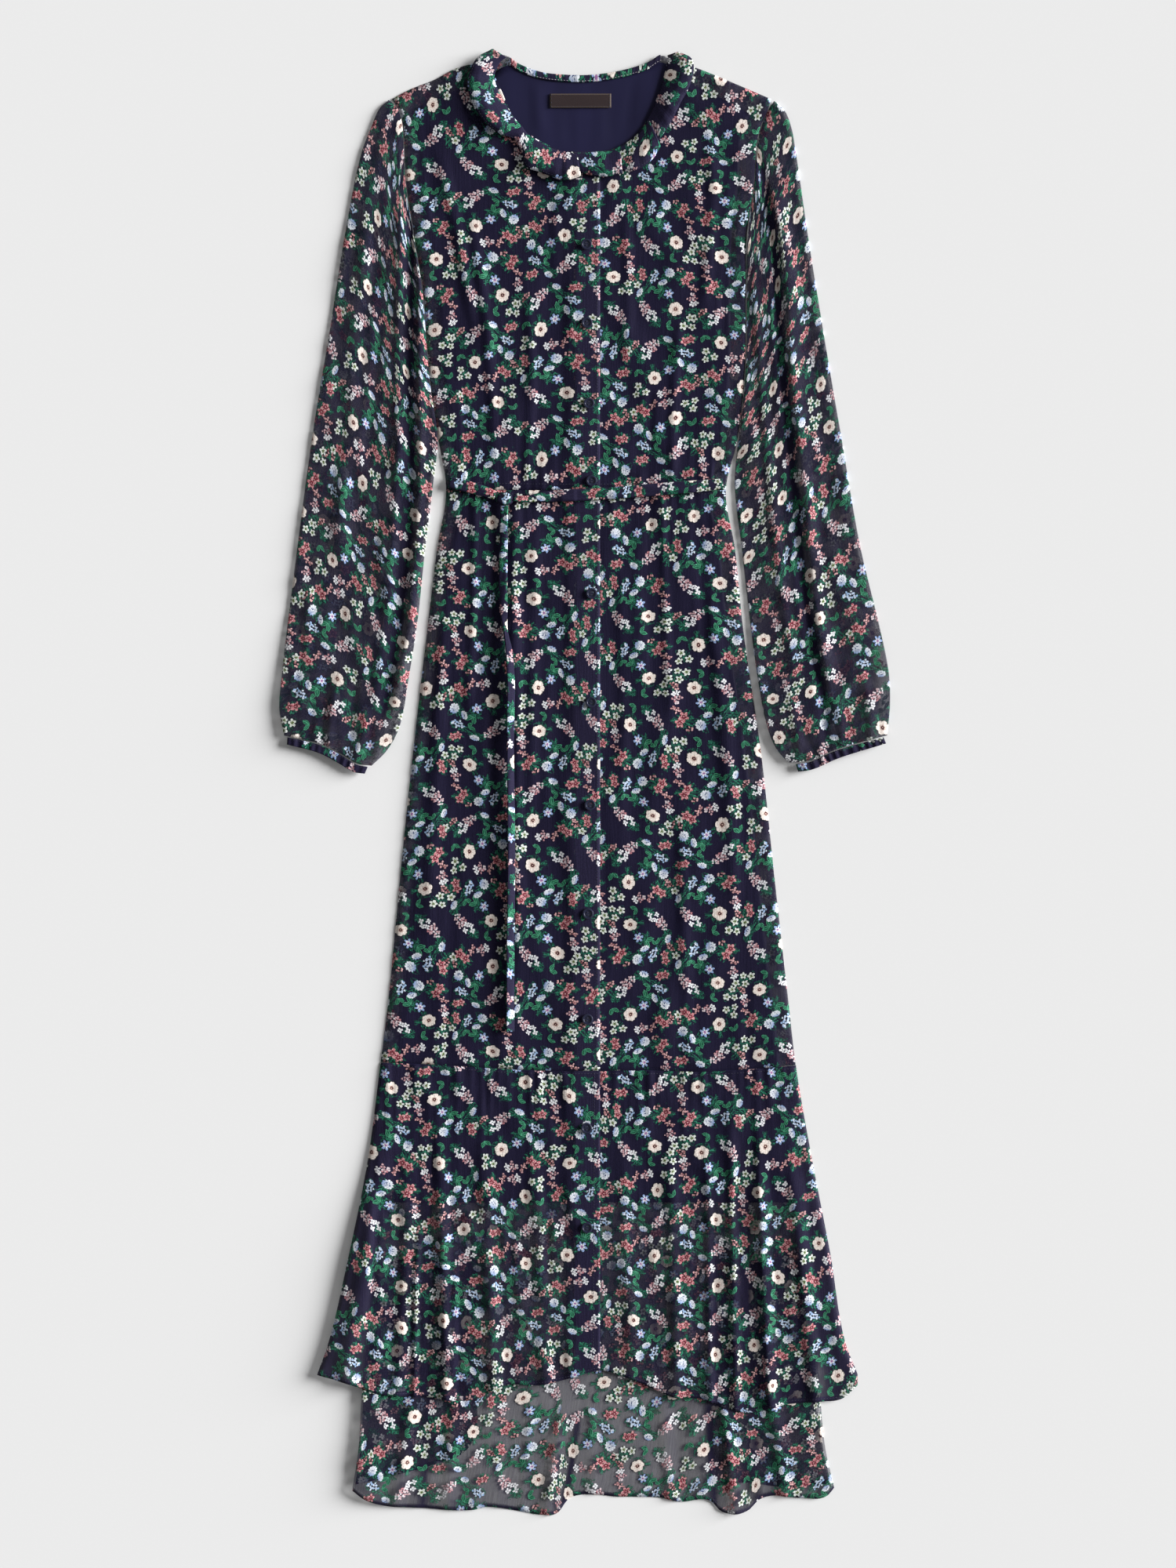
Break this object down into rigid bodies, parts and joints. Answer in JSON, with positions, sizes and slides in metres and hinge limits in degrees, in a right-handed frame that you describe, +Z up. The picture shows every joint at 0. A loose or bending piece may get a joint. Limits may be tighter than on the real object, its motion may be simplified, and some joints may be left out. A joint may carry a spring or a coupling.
{
  "type": "shirt dress",
  "caption": "Long-sleeved printed chiffon shirt dress with a ruffled neck, a button front, a waist tie and a sheer flounce, laid flat on its back.",
  "frame": {"origin": "on the surface the dress lies on, at the middle of its width and length", "axes": "+Z up from the surface, out of the dress's front; +Y towards the neck; +X towards the wearer's left"},
  "size_m": [0.6066, 1.4563, 0.0104],
  "materials": {
    "printed_chiffon": "thin woven chiffon, navy ground with a small floral print",
    "lining_cloth": "plain navy woven lining",
    "label_cloth": "woven brown label, bare",
    "button": "dark navy, moulded, four holes"
  },
  "bodies": {
    "root": {"bodice_back": "printed_chiffon", "bodice_front_left": "printed_chiffon", "bodice_front_right": "printed_chiffon", "skirt_back": "printed_chiffon", "skirt_front_left": "printed_chiffon", "skirt_front_right": "printed_chiffon", "flounce_back": "printed_chiffon", "flounce_front_left": "printed_chiffon", "flounce_front_right": "printed_chiffon", "flounce_side_left": "printed_chiffon", "flounce_side_right": "printed_chiffon", "lining": "lining_cloth", "neck_binding": "printed_chiffon", "neck_ruffle": "printed_chiffon", "label": "label_cloth", "sleeve_left": "printed_chiffon", "sleeve_right": "printed_chiffon", "cuff_left": "printed_chiffon", "cuff_right": "printed_chiffon", "waist_tie_right": "printed_chiffon", "waist_tie_left": "printed_chiffon", "waist_tie_knot": "printed_chiffon", "waist_tie_tail": "printed_chiffon", "button_01": "button", "button_02": "button", "button_03": "button", "button_04": "button", "button_05": "button", "button_06": "button", "button_07": "button", "button_08": "button", "button_09": "button", "button_10": "button", "button_11": "button"}
  },
  "joints": []
}
